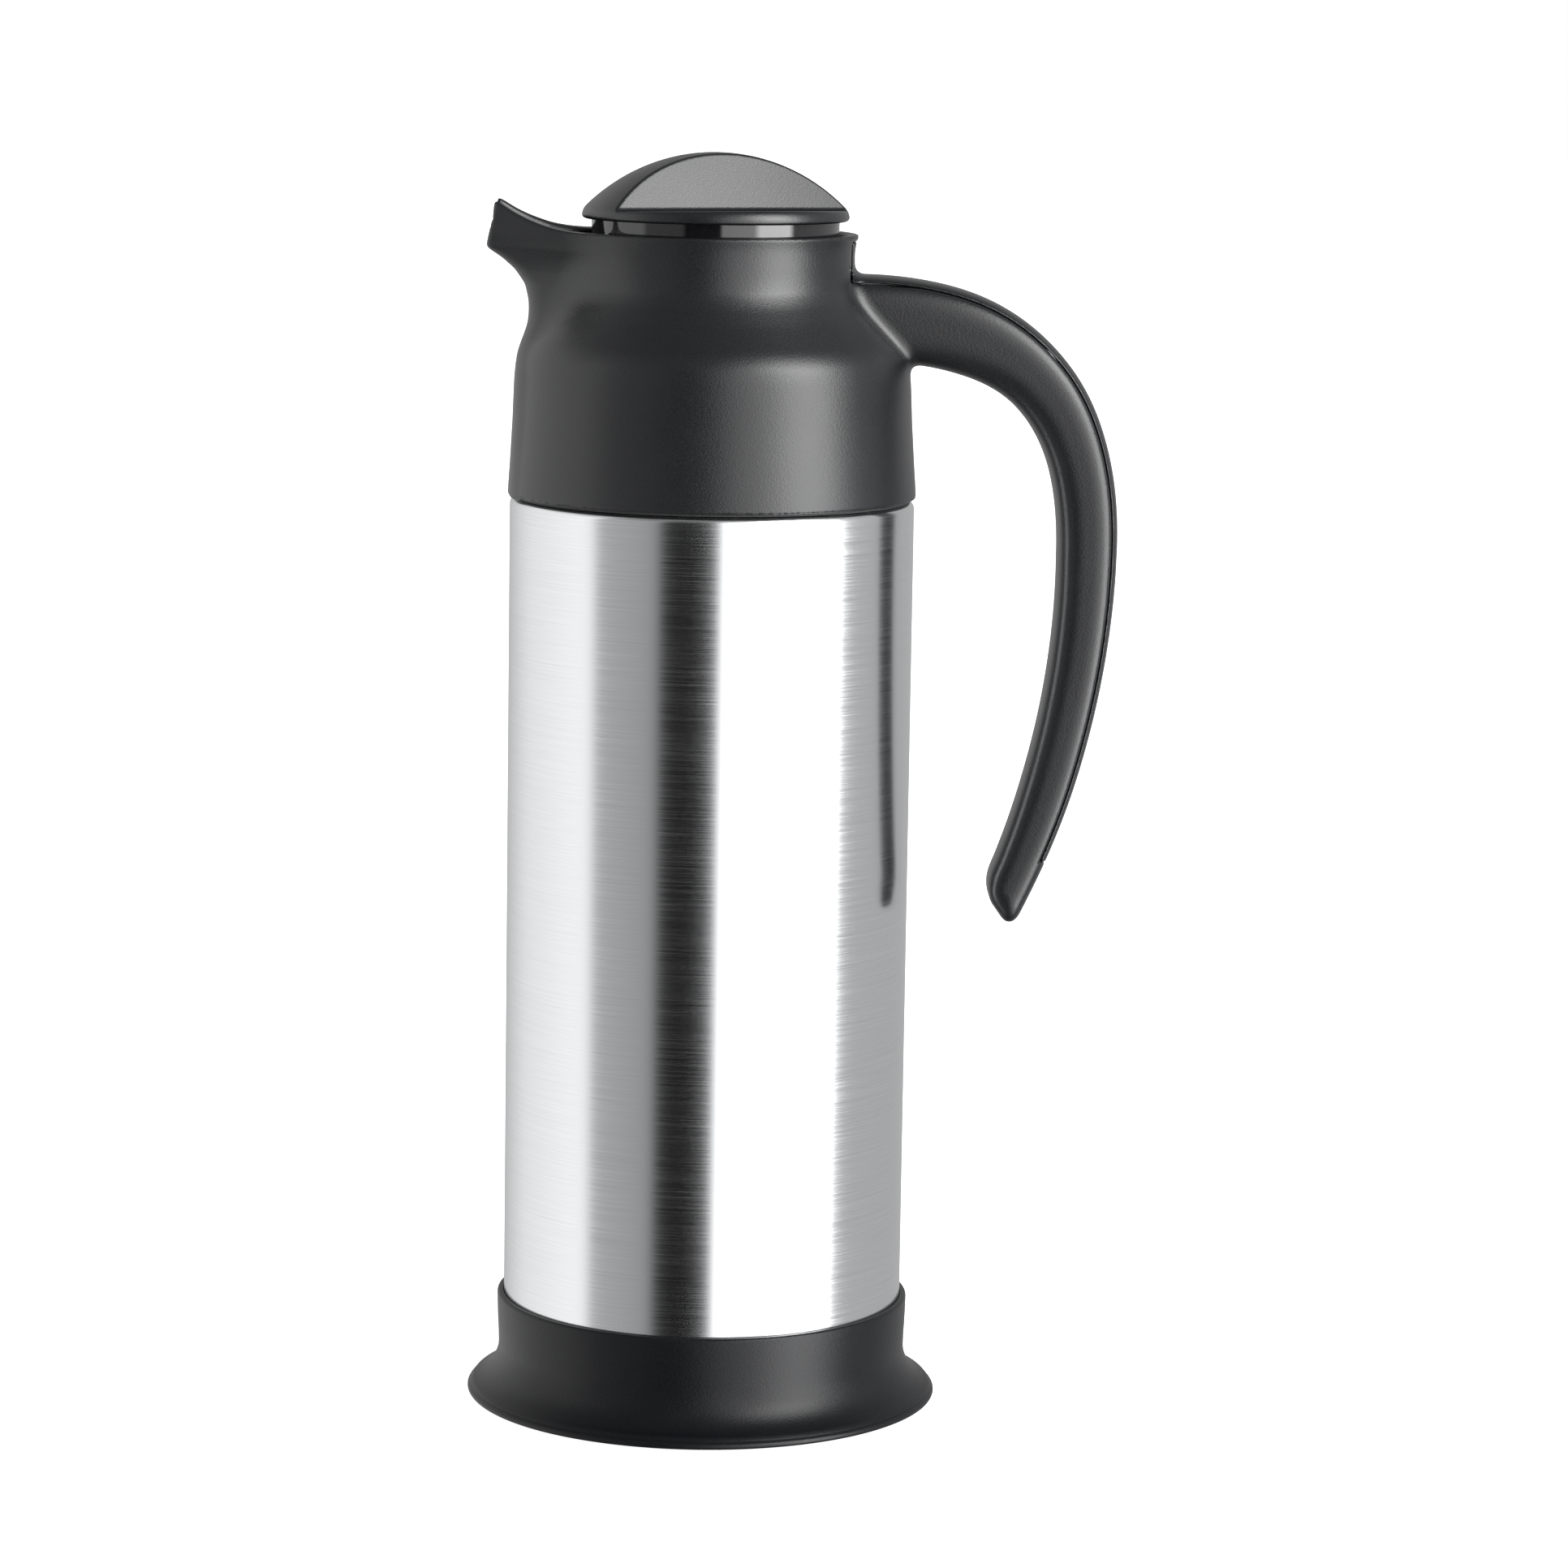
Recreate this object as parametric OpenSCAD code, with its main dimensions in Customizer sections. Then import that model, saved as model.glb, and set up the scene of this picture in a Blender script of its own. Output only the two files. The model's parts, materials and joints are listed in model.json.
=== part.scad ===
// Insulated serving flask: double-walled steel body, moulded shoulder with an
// open spout, open-ended handle, flared base and a screw stopper.
// Millimetres. The origin is on the flask's axis, on the surface it stands on.
// +Z is up, the spout points along -X and the handle reaches out along +X.

/* [Steel body] */
// Outer diameter of the visible steel wall
body_d = 90; // [88:0.5:92]
// Height of the steel wall's upper edge
body_top_z = 204.8; // [200:0.2:208]
// Sheet thickness of both steel walls
steel_t = 0.6; // [0.5:0.05:0.7]
// Width of the evacuated gap between the two walls
vacuum_gap = 3.4; // [3:0.1:3.6]
// Inner radius of the flask's mouth
mouth_r = 22.5; // [22.3:0.1:22.8]

/* [Shoulder and spout] */
// Outer radius of the shoulder's neck
neck_r = 30.9; // [30.7:0.1:31.2]
// How far the spout's tip stands from the axis
spout_reach = 50.4; // [48:0.2:53]
// Half of the spout's width at its tip
spout_half_w = 10.5; // [10:0.1:11.5]
// Wall thickness of the moulded parts
wall = 2.4; // [2.2:0.1:2.6]

/* [Handle] */
// Half of the handle's width where it leaves the shoulder
handle_half_w = 10.5; // [9:0.25:12]
// Thickness of the cover strip along the handle's back
cover_t = 1.7; // [1.5:0.1:2.4]

/* [Base] */
// Diameter of the base's flange
base_d = 106.2; // [104:0.2:110]
// Height of the base ring's upper edge
base_h = 24.1; // [22:0.1:26]

/* [Stopper] */
// Radius of the cap's flange
cap_r = 29.6; // [29.4:0.1:30]
// Radius of the cap's dome
dome_r = 40.4; // [40:0.1:42]
// Turn of the grip ridge when the stopper is closed, in degrees
ridge_turn = 21; // [15:1:25]
// Half of the grip ridge's width at its middle
ridge_half_w = 3.7; // [3.5:0.1:5]
// Rise of the stopper for each full turn
thread_lead = 18; // [18:1:18]
// Number of thread starts
thread_starts = 3; // [3:1:3]

/* [Hidden] */
$fn = 96;
fit = 0.15;
body_r = body_d / 2;
mouth_z = body_top_z + 31.2;
rim_z = body_top_z + 58.7;
shell_bottom_z = 9.2;
liner_r = body_r - steel_t - vacuum_gap;
liner_bottom_z = 14.6;
liner_seam_z = body_top_z - 9;
band_r = body_r - 2.6;
shell_neck_r = mouth_r + 3.7;
bore_r = neck_r - wall;
insert_r = bore_r - 0.2;
insert_low_z = mouth_z + 2;
insert_high_z = mouth_z + 16;
thread_bore_r = insert_r - 1.9;
thread_crest_r = thread_bore_r - 1.4;
plug_r = thread_crest_r - 0.4;
plug_thread_r = thread_bore_r - 0.4;
thread_low_z = insert_low_z + 3.6;
collar_r = cap_r - 2.2;
plug_bottom_z = mouth_z + 2.8;
collar_low_z = mouth_z + 20;
flange_low_z = mouth_z + 30.3;
dome_centre_z = mouth_z + 45.1 - dome_r;
scoop_r = 150;
scoop_floor_z = flange_low_z + 3;
gasket_r = plug_r - 0.2;
gasket_bore_r = gasket_r - 5;
foot_h = 1.6;
cover_low_z = 0.8;
web_z = 6.2;

steel = "#c8cbce";
satin_black = "#303134";
gloss_black = "#1b1c1e";
silicone = "#3a3b3d";
foam = "#e8e4d8";

// ---------------------------------------------------------------- helpers

// A closed solid through a list of rings with the same number of points.
module skin(rings) {
    n = len(rings[0]);
    m = len(rings);
    low_cap = [[for (i = [n - 1:-1:0]) i]];
    high_cap = [[for (i = [0:n - 1]) (m - 1) * n + i]];
    sides = [for (k = [0:m - 2], i = [0:n - 1], half = [0, 1])
        let (a = k * n + i, b = k * n + (i + 1) % n)
        half == 0 ? [a, b, b + n] : [a, b + n, a + n]];
    polyhedron(points = [for (ring = rings) each ring], faces = concat(low_cap, sides, high_cap));
}

// A sheet-metal profile: a chain of outer points and the same chain moved inwards.
function sheet(chain, t) = concat(chain, [for (i = [len(chain) - 1:-1:0]) chain[i] - [t, 0]]);

// Points on a circle's arc about a centre, from angle a0 to angle a1.
function arc(centre, r, a0, a1, steps = 6) =
    [for (i = [0:steps]) let (a = a0 + (a1 - a0) * i / steps) centre + r * [cos(a), sin(a)]];

// A point on a cubic curve.
function bezier(p, t) =
    pow(1 - t, 3) * p[0] + 3 * t * pow(1 - t, 2) * p[1] + 3 * t * t * (1 - t) * p[2] + pow(t, 3) * p[3];
function bezier_slope(p, t) =
    pow(1 - t, 2) * (p[1] - p[0]) + 2 * t * (1 - t) * (p[2] - p[1]) + t * t * (p[3] - p[2]);

module disc(r, z0, z1) {
    translate([0, 0, z0]) cylinder(r = r, h = z1 - z0);
}

module ring(r_in, r_out, z0, z1) {
    translate([0, 0, z0]) difference() {
        cylinder(r = r_out, h = z1 - z0);
        translate([0, 0, -1]) cylinder(r = r_in, h = z1 - z0 + 2);
    }
}

// One thread ridge, a wedge that climbs round the axis. It starts at angle a0 and height z0.
module thread_ridge(root_r, crest_r, z0, a0, sweep) {
    root_half = 1.2;
    crest_half = 0.6;
    steps = ceil(sweep / 7.5);
    skin([for (i = [0:steps])
        let (turn = sweep * i / steps, a = a0 + turn, z = z0 + thread_lead * turn / 360,
             corners = root_r < crest_r
                 ? [[root_r, -root_half], [crest_r, -crest_half], [crest_r, crest_half], [root_r, root_half]]
                 : [[crest_r, -crest_half], [root_r, -root_half], [root_r, root_half], [crest_r, crest_half]])
        [for (c = corners) [c[0] * cos(a), c[0] * sin(a), z + c[1]]]]);
}

// ------------------------------------------------------------- steel body

// The visible tube, rolled over at its top edge to a flat lip.
module outer_shell() {
    edge_r = 1.9;
    centre = [body_r - edge_r, body_top_z - edge_r];
    color(steel) rotate_extrude() polygon(concat(
        [[body_r, shell_bottom_z]], arc(centre, edge_r, 0, 90), [[band_r, body_top_z]],
        [[band_r, body_top_z - steel_t]], arc(centre, edge_r - steel_t, 90, 0),
        [[body_r - steel_t, shell_bottom_z]]));
}

// The drawn upper part of the outer wall: a band inside the shoulder's skirt, a cone and the neck.
module shell_neck() {
    color(steel) rotate_extrude() polygon(sheet([
        [band_r, body_top_z - steel_t], [band_r, body_top_z + 8.2], [shell_neck_r, mouth_z - 7.5],
        [shell_neck_r, mouth_z - steel_t]], steel_t));
}

module shell_bottom() {
    recess_r = 18;
    rim_r = body_r - steel_t;
    color(steel) difference() {
        rotate_extrude() polygon([
            [0, 12], [recess_r - 0.5, 12], [recess_r + 1, shell_bottom_z], [rim_r, shell_bottom_z],
            [rim_r, 12.4], [rim_r - steel_t, 12.4], [rim_r - steel_t, shell_bottom_z + steel_t],
            [recess_r + 1.4, shell_bottom_z + steel_t], [recess_r, 12 + steel_t], [0, 12 + steel_t]]);
        disc(1, 11, 14);
    }
}

module inner_liner() {
    color(steel) rotate_extrude() polygon(sheet([[liner_r, liner_bottom_z], [liner_r, liner_seam_z]], steel_t));
}

// The liner's drawn upper part, which turns out at the mouth over the outer wall's neck.
module liner_neck() {
    lip_z = mouth_z - steel_t;
    chain = [
        [liner_r, liner_seam_z], [liner_r - 0.8, body_top_z - 2], [liner_r - 3, body_top_z + 4],
        [liner_r - 7, body_top_z + 9.6], [liner_r - 12, body_top_z + 14.6], [mouth_r + 3, body_top_z + 19.2],
        [mouth_r + steel_t, body_top_z + 23.7], [mouth_r + steel_t, lip_z]];
    inside = [for (i = [len(chain) - 1:-1:0]) [chain[i][0] - steel_t, min(chain[i][1], mouth_z - 1)]];
    color(steel) rotate_extrude()
        polygon(concat(chain, [[shell_neck_r, lip_z], [shell_neck_r, mouth_z], [mouth_r + 0.4, mouth_z]], inside));
}

module liner_bottom() {
    r = liner_r - steel_t;
    z = liner_bottom_z;
    color(steel) rotate_extrude() polygon([
        [0, z + 2], [r - 8, z + 0.6], [r - 2, z], [r, z + 1.2], [r, z + 4], [r - steel_t, z + 4],
        [r - steel_t, z + 1.6], [r - 2.2, z + steel_t], [r - 8, z + 0.6 + steel_t], [0, z + 2 + steel_t]]);
}

module getter() {
    color("#8d8f92") translate([26, 0, 12.2]) cylinder(r = 5, h = 2.4);
}

module vacuum_seal() {
    color("#b9a06a") rotate_extrude() polygon([[0, 11], [2.2, 11.2], [2.6, 12], [0.95, 12], [0.95, 12.6], [0, 12.6]]);
}

module seal_cover() {
    color(gloss_black) disc(17, shell_bottom_z + 0.2, shell_bottom_z + 1.6);
}

// ---------------------------------------------------- shoulder, spout, neck

// Outer outline of the shoulder, from the skirt's foot to the neck's rim.
function shoulder_outline() = [
    [body_r - 0.4, body_top_z + 1.1], [body_r + 0.3, body_top_z + 1.8], [body_r - 0.2, body_top_z + 8.5],
    [body_r - 0.8, body_top_z + 17.5], [body_r - 1.1, body_top_z + 24.5], [body_r - 1.4, body_top_z + 28.5],
    [body_r - 2, body_top_z + 31.6], [body_r - 3.4, body_top_z + 34.1], [body_r - 6, body_top_z + 36.9],
    [neck_r + 5.1, body_top_z + 40.2], [neck_r + 2.3, body_top_z + 43.8], [neck_r + 0.7, body_top_z + 46.7],
    [neck_r + 0.1, body_top_z + 50.2], [neck_r, body_top_z + 54], [neck_r + 0.1, body_top_z + 56],
    [neck_r + 0.5, body_top_z + 57.4], [neck_r + 0.3, body_top_z + 58.4], [neck_r - 0.3, rim_z]];

// The space inside that outline, carried on above the rim by the given height.
module shoulder_envelope(above = 0) {
    top = above > 0 ? [[neck_r - 0.3, rim_z + above], [0, rim_z + above]] : [[0, rim_z]];
    rotate_extrude() polygon(concat(shoulder_outline(), top, [[0, body_top_z + 1.1]]));
}

module shoulder_shell() {
    cavity = [
        [bore_r + 0.4, rim_z], [bore_r + 0.4, insert_high_z + 0.6], [bore_r, insert_high_z],
        [bore_r, mouth_z - 5], [bore_r + 2.1, mouth_z - 5], [bore_r + 2.1, mouth_z + 10.5],
        [bore_r + 5.1, mouth_z + 7.6], [body_r - 8.4, mouth_z + 4.3], [body_r - 5.8, mouth_z + 1.4],
        [body_r - 4.4, mouth_z - 1], [body_r - 3.8, mouth_z - 5], [body_r - 3.4, mouth_z - 14],
        [body_r - 2.9, body_top_z + 9.2], [band_r + 0.3, body_top_z + 8.6], [band_r + 0.3, body_top_z + 1.1]];
    rotate_extrude() polygon(concat(shoulder_outline(), cavity));
}

// Plan outline of the spout at one height: reach from the axis and half width of the nose.
function spout_slice(z, reach, half) =
    let (root = [-12, neck_r - 4.6], nose = [
        [-reach + 3, half], [-reach + 0.8, half - 0.9], [-reach, half - 2.6]])
    [for (p = concat([root], nose)) [p[0], p[1], z],
     for (i = [2:-1:0]) [nose[i][0], -nose[i][1], z], [root[0], -root[1], z]];

module spout_outer() {
    s = body_top_z;
    skin([
        spout_slice(s + 32.2, spout_reach - 8.8, 10), spout_slice(s + 38.2, spout_reach - 9.4, 7),
        spout_slice(s + 44.7, spout_reach - 9, 5.4), spout_slice(s + 48.4, spout_reach - 7.3, 5.2),
        spout_slice(s + 51.9, spout_reach - 4.1, 5.4), spout_slice(s + 54.9, spout_reach, 6),
        spout_slice(s + 58.5, spout_reach - 0.5, spout_half_w - 1.5),
        spout_slice(s + 66.2, spout_reach - 2, spout_half_w)]);
}

// The pouring channel: two round-bottomed cuts that part towards the neck.
module spout_channel() {
    r = spout_half_w - 3.3;
    rise = 13;
    splay = 9;
    for (side = [-1, 1])
        translate([-spout_reach, 0, rim_z - 0.8]) rotate([0, rise, side * splay]) translate([-3, 0, 0]) {
            translate([0, 0, r - 1.5]) rotate([0, 90, 0]) cylinder(r = r, h = 40);
            translate([0, -r, r - 1.5]) cube([40, 2 * r, 30]);
        }
}

// Everything above the rim, which rises in a hollow curve towards the spout's tip.
module above_rim() {
    edge = [[0, 0], [-28, 0], [-32.7, 0.4], [-36.5, 1.1], [-41, 2.7], [-44.4, 4.3], [-spout_reach + 3.3, 6.1], [-60, 13]];
    translate([0, 60, 0]) rotate([90, 0, 0]) linear_extrude(120)
        polygon(concat([for (p = edge) [p[0], rim_z + p[1]]], [[-60, rim_z + 30], [0, rim_z + 30]]));
}

// The handle's cover runs on up the back of the neck as a tongue, let into a flat on the neck.
tongue_half_w = 8;
tongue_x = neck_r - 1;
tongue_high_z = rim_z - 1.6;
handle_top_z = rim_z - 8.7;

module neck_tongue_recess() {
    gap = 0.1;
    low = handle_top_z - cover_t - 0.2;
    translate([tongue_x - gap, -tongue_half_w - 0.3, low])
        cube([4, 2 * tongue_half_w + 0.6, tongue_high_z + gap - low]);
}

module shoulder() {
    color(satin_black) difference() {
        shoulder_shell();
        spout_channel();
        neck_tongue_recess();
    }
}

module spout() {
    clear = 1 / cos(180 / $fn);
    color(satin_black) difference() {
        spout_outer();
        scale([clear, clear, 1]) shoulder_envelope(30);
        spout_channel();
        above_rim();
    }
}

module shoulder_gasket() {
    color(gloss_black) ring(band_r + 0.05, body_r - 0.8, body_top_z, body_top_z + 1.1);
}

module neck_insert() {
    slot_w = 12;
    color(satin_black) difference() {
        union() {
            rotate_extrude() polygon([
                [shell_neck_r + 0.4, mouth_z - 6], [insert_r, mouth_z - 6], [insert_r, insert_high_z],
                [thread_bore_r, insert_high_z], [thread_bore_r, insert_low_z + 2],
                [thread_crest_r, insert_low_z + 2], [thread_crest_r, insert_low_z],
                [shell_neck_r + 0.4, insert_low_z]]);
            for (k = [0:thread_starts - 1])
                thread_ridge(thread_bore_r + 0.3, thread_crest_r, thread_low_z, 360 * k / thread_starts, 180);
        }
        for (side = [-1, 1])
            translate([side * (thread_bore_r - 0.5), 0, insert_low_z + 10.5])
                cube([3, slot_w, 14.6], center = true);
    }
}

module neck_gasket() {
    color(silicone) ring(thread_crest_r - 0.1, shell_neck_r, mouth_z, insert_low_z);
}

// ---------------------------------------------------------------- handle

// The handle's middle line in two curves: out and over, then down to the tip.
function handle_line() =
    let (top = handle_top_z - 10.1)
    [[[26, top], [66, top + 3], [84.5, top - 15.2], [83.6, top - 52.2]],
     [[83.6, top - 52.2], [83.5, top - 75.2], [78.3, top - 103.2], [67, top - 127.7]]];

// Half thickness and half width along the handle; s runs from 0 at the root to 2 at the tip.
function handle_half_t(s) = lookup(s, [[0, 9.9], [0.3, 9], [0.5, 7.7], [0.75, 6.9], [1, 6.65], [1.7, 5.8], [2, 5.15]]);
function handle_half_y(s) = lookup(s, [[0, handle_half_w], [1, handle_half_w - 1], [2, handle_half_w - 2.3]]);

// One cross-section, rounded as a superellipse. The body keeps what is below the split, which leaves
// it a flat back, and the cover keeps the cap above it.
function handle_slice(s, cover) =
    let (curve = handle_line()[s < 1 ? 0 : 1], t = s < 1 ? s : min(s, 2) - 1,
         slope = bezier_slope(curve, t), along = slope / norm(slope), out = [-along[1], along[0]],
         past = max(s - 2, 0), shrink = sqrt(1 - past * past),
         centre = bezier(curve, t) + along * past * 6.4,
         h = handle_half_t(s) * shrink, w = handle_half_y(s) * shrink,
         split = past > 0 ? 1 : 1 - cover_t / h, square = 0.8,
         edge = asin(pow(min(split, 1), 1 / square)), steps = 18,
         a0 = cover ? edge : 180 - edge, sweep = cover ? 180 - 2 * edge : 180 + 2 * edge)
    [for (i = [0:steps])
        let (a = a0 + sweep * i / steps, c = cos(a), q = sin(a),
             y = w * sign(c) * pow(abs(c), square),
             v = h * sign(q) * pow(abs(q), square) + (cover ? 0.05 : 0), p = centre + out * v)
        [p[0], y, p[1]]];

handle_stations = [0, 0.1, 0.2, 0.3, 0.38, 0.46, 0.54, 0.62, 0.7, 0.8, 0.9, 1.02, 1.15, 1.3, 1.45, 1.6,
                   1.75, 1.88, 2, 2.3, 2.6, 2.82, 2.96];
cover_stations = [0.045, for (s = handle_stations) if (s > 0.05 && s < 1.9) s];

// A lens-shaped cross-section of the cover's tongue between its flat and its crown.
function tongue_slice(flat, crown) =
    [for (i = [0:18]) let (u = 1 - i / 9, p = flat + (crown - flat) * (1 - u * u)) [p[0], tongue_half_w * u, p[1]]];

module handle() {
    color(satin_black) difference() {
        skin([for (s = handle_stations) handle_slice(s, false)]);
        shoulder_envelope();
    }
}

module handle_cover() {
    crown_x = neck_r + 0.05;
    tongue = [
        tongue_slice([tongue_x, tongue_high_z], [crown_x, tongue_high_z]),
        tongue_slice([tongue_x, handle_top_z + 2], [crown_x, handle_top_z + 2]),
        tongue_slice([tongue_x, handle_top_z - cover_t], [crown_x + 0.1, handle_top_z])];
    color(satin_black) skin(concat(tongue, [for (s = cover_stations) handle_slice(s, true)]));
}

// ------------------------------------------------------------------ base

module base_ring() {
    flange_r = base_d / 2;
    inner_r = body_r + fit;
    outline = concat(
        [[inner_r, base_h], [body_r + 0.8, base_h], [body_r + 1.3, base_h - 0.5], [body_r + 1.45, base_h - 1.3],
         [body_r + 1.3, 18], [body_r + 1.05, 13]],
        arc([body_r + 10.4, 12.1], 9.35, 180, 250, 8),
        [[flange_r - 0.6, 2.7], [flange_r, 1.9], [flange_r, 1.3], [flange_r - 0.5, 0.7], [flange_r - 1.2, 0.6]]);
    underside = [[48.9, 0.6], [48.9, 2.9], [45.6, web_z], [28, web_z], [28, web_z + 2.2], [inner_r, web_z + 2.2]];
    color(satin_black) rotate_extrude() polygon(concat(outline, underside));
}

module base_pad() {
    color(silicone) ring(30, 44, web_z + 2.2, shell_bottom_z);
}

module base_cover() {
    snap_r = 27.8;
    color(satin_black) difference() {
        union() {
            disc(48.7, cover_low_z, cover_low_z + 2);
            ring(snap_r - 1.8, snap_r, cover_low_z + 2, web_z + 1);
        }
        disc(44.2, cover_low_z - 1, foot_h);
    }
}

module foot_pad() {
    color(silicone) disc(44, 0, foot_h);
}

// --------------------------------------------------------------- stopper

// The finger hollow on one side of the grip ridge, widened all round by grow. Its broad wall leans back.
module scoop(side, grow) {
    r = scoop_r + grow;
    z = scoop_floor_z - grow;
    rotate([0, 0, ridge_turn]) translate([0, side * (scoop_r + ridge_half_w), 0]) rotate_extrude()
        polygon([[0, z], [r - 5.6, z], [r - 4.6, z + 0.5], [r, z + 12], [r, z + 25], [0, z + 25]]);
}

module scoops(grow) {
    for (side = [-1, 1]) scoop(side, grow);
}

module stopper_cap() {
    spigot_r = collar_r - 2.2;
    dome_edge = arc([0, dome_centre_z], dome_r, 43.9, 90, 16);
    inner_r = dome_r - 2.2;
    color(satin_black) difference() {
        rotate_extrude() polygon(concat(
            [[0, flange_low_z], [spigot_r - 2, flange_low_z], [spigot_r - 2, flange_low_z - 4],
             [spigot_r, flange_low_z - 4], [spigot_r, flange_low_z], [cap_r - 0.8, flange_low_z],
             [cap_r - 0.1, flange_low_z + 0.7], [cap_r, flange_low_z + 1.4]], dome_edge));
        scoops(0);
        difference() {
            rotate_extrude() polygon(concat(
                [[0, flange_low_z - 1], [spigot_r - 2, flange_low_z - 1]],
                arc([0, dome_centre_z], inner_r, 52.6, 90, 12)));
            scoops(2);
        }
    }
}

module stopper_body() {
    color(gloss_black) {
        rotate_extrude() polygon([
            [gasket_bore_r - 14, plug_bottom_z], [plug_r, plug_bottom_z], [plug_r, collar_low_z],
            [collar_r - 0.6, collar_low_z], [collar_r, collar_low_z + 0.6], [collar_r, flange_low_z],
            [collar_r - 2, flange_low_z], [collar_r - 2, collar_low_z + 2], [plug_r - 2, collar_low_z],
            [plug_r - 2, plug_bottom_z + 2], [gasket_bore_r - 14, plug_bottom_z + 2]]);
        for (k = [0:thread_starts - 1])
            thread_ridge(plug_r - 0.3, plug_thread_r, thread_low_z + 3.5, 360 * k / thread_starts + 10, 70);
    }
}

module stopper_foam() {
    color(foam) rotate_extrude() polygon([
        [0, plug_bottom_z + 4.2], [plug_r - 2.2, plug_bottom_z + 4.2], [plug_r - 2.2, collar_low_z + 0.2],
        [collar_r - 4.4, collar_low_z + 2.4], [collar_r - 4.4, flange_low_z + 0.6], [0, flange_low_z + 0.6]]);
}

module gasket_retainer() {
    r = mouth_r - 0.7;
    stem_r = gasket_bore_r - 0.1;
    color(gloss_black) rotate_extrude() polygon([
        [0, mouth_z - 4.5], [r - 1, mouth_z - 4.5], [r, mouth_z - 3.5], [r, mouth_z], [stem_r, mouth_z],
        [stem_r, plug_bottom_z], [gasket_bore_r - 14.1, plug_bottom_z], [gasket_bore_r - 14.1, plug_bottom_z + 3],
        [gasket_bore_r - 13.7, plug_bottom_z + 3], [0, plug_bottom_z + 4]]);
}

module stopper_gasket() {
    color("#e4e4e0") ring(gasket_bore_r, gasket_r, mouth_z + 0.1, plug_bottom_z - 0.1);
}

outer_shell();
shell_neck();
shell_bottom();
inner_liner();
liner_neck();
liner_bottom();
getter();
vacuum_seal();
seal_cover();
shoulder();
spout();
shoulder_gasket();
neck_insert();
neck_gasket();
handle();
handle_cover();
base_ring();
base_pad();
base_cover();
foot_pad();
stopper_cap();
stopper_body();
stopper_foam();
gasket_retainer();
stopper_gasket();
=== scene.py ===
"""Looks of the insulated serving flask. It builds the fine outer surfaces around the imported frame."""

import json
import math

import bpy
import numpy as np
from mathutils import Matrix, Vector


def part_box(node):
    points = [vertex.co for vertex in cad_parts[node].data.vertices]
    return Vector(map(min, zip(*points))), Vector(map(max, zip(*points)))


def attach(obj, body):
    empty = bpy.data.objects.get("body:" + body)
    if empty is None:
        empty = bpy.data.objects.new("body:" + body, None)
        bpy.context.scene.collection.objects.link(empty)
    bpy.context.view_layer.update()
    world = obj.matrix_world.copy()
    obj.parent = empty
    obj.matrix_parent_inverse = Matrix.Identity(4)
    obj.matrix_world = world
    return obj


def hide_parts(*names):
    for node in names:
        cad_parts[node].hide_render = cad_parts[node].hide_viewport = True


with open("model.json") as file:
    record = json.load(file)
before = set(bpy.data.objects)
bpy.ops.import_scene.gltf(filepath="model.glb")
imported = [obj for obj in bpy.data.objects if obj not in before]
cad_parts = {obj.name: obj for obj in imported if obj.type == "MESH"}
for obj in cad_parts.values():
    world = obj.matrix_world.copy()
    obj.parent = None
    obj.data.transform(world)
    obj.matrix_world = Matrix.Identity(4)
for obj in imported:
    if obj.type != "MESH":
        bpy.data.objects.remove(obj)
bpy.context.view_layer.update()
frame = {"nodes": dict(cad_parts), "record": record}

# ------------------------------------------------------------------ sizes from the frame, in mm

MM = 1000.0


def node_box(name):
    """The lowest and the highest corner of a CAD node."""
    low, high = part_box(name)
    return np.array(low) * MM, np.array(high) * MM


BODY_LOW, BODY_HIGH = node_box("outer_shell")
CAP_HIGH = node_box("stopper_cap")[1]
BASE_HIGH = node_box("base_ring")[1]
BODY_R, BODY_TOP = BODY_HIGH[0], BODY_HIGH[2]
RIM = node_box("shoulder")[1][2]
HANDLE_TOP = RIM - 8.7
CAP_R, CAP_TOP = CAP_HIGH[0], CAP_HIGH[2]
FLANGE = CAP_TOP - 14.8
BASE_R, BASE_TOP = BASE_HIGH[0], BASE_HIGH[2]

# ------------------------------------------------------------------ smooth tables and blends


def table(pairs, step=0.1, blur=0.6):
    """A smooth function through (position, value) pairs: linear, then blurred with a Gaussian."""
    pairs = np.array(pairs, float)
    x = np.arange(pairs[0, 0] - 4 * blur, pairs[-1, 0] + 4 * blur, step)
    slope_in = (pairs[1, 1] - pairs[0, 1]) / (pairs[1, 0] - pairs[0, 0])
    slope_out = (pairs[-1, 1] - pairs[-2, 1]) / (pairs[-1, 0] - pairs[-2, 0])
    y = np.interp(x, pairs[:, 0], pairs[:, 1])
    y = np.where(x < pairs[0, 0], pairs[0, 1] + slope_in * (x - pairs[0, 0]), y)
    y = np.where(x > pairs[-1, 0], pairs[-1, 1] + slope_out * (x - pairs[-1, 0]), y)
    reach = int(3 * blur / step)
    kernel = np.exp(-0.5 * (np.arange(-reach, reach + 1) * step / blur) ** 2)
    y = np.convolve(y, kernel / kernel.sum(), "same")
    keep = slice(reach, len(x) - reach)
    return x[keep], y[keep], np.gradient(y, step)[keep]


def look(tab, x):
    """The table's value at x."""
    return np.interp(x, tab[0], tab[1])


def slope(tab, x):
    """The table's steepness at x."""
    return np.interp(x, tab[0], tab[2])


def smin(a, b, k):
    """The union of two solids, with a fillet about k wide."""
    h = np.maximum(k - np.abs(a - b), 0) / k
    return np.minimum(a, b) - h * h * k / 4


def smax(a, b, k):
    """The overlap of two solids, with an edge softened over about k."""
    return -smin(-a, -b, k)


def rounded(a, b, r):
    """The overlap of two half spaces with a circular edge of radius r."""
    return (np.minimum(np.maximum(a + r, b + r), 0)
            + np.hypot(np.maximum(a + r, 0), np.maximum(b + r, 0)) - r)


# ------------------------------------------------------------------ the moulding: shoulder, spout, handle

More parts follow.
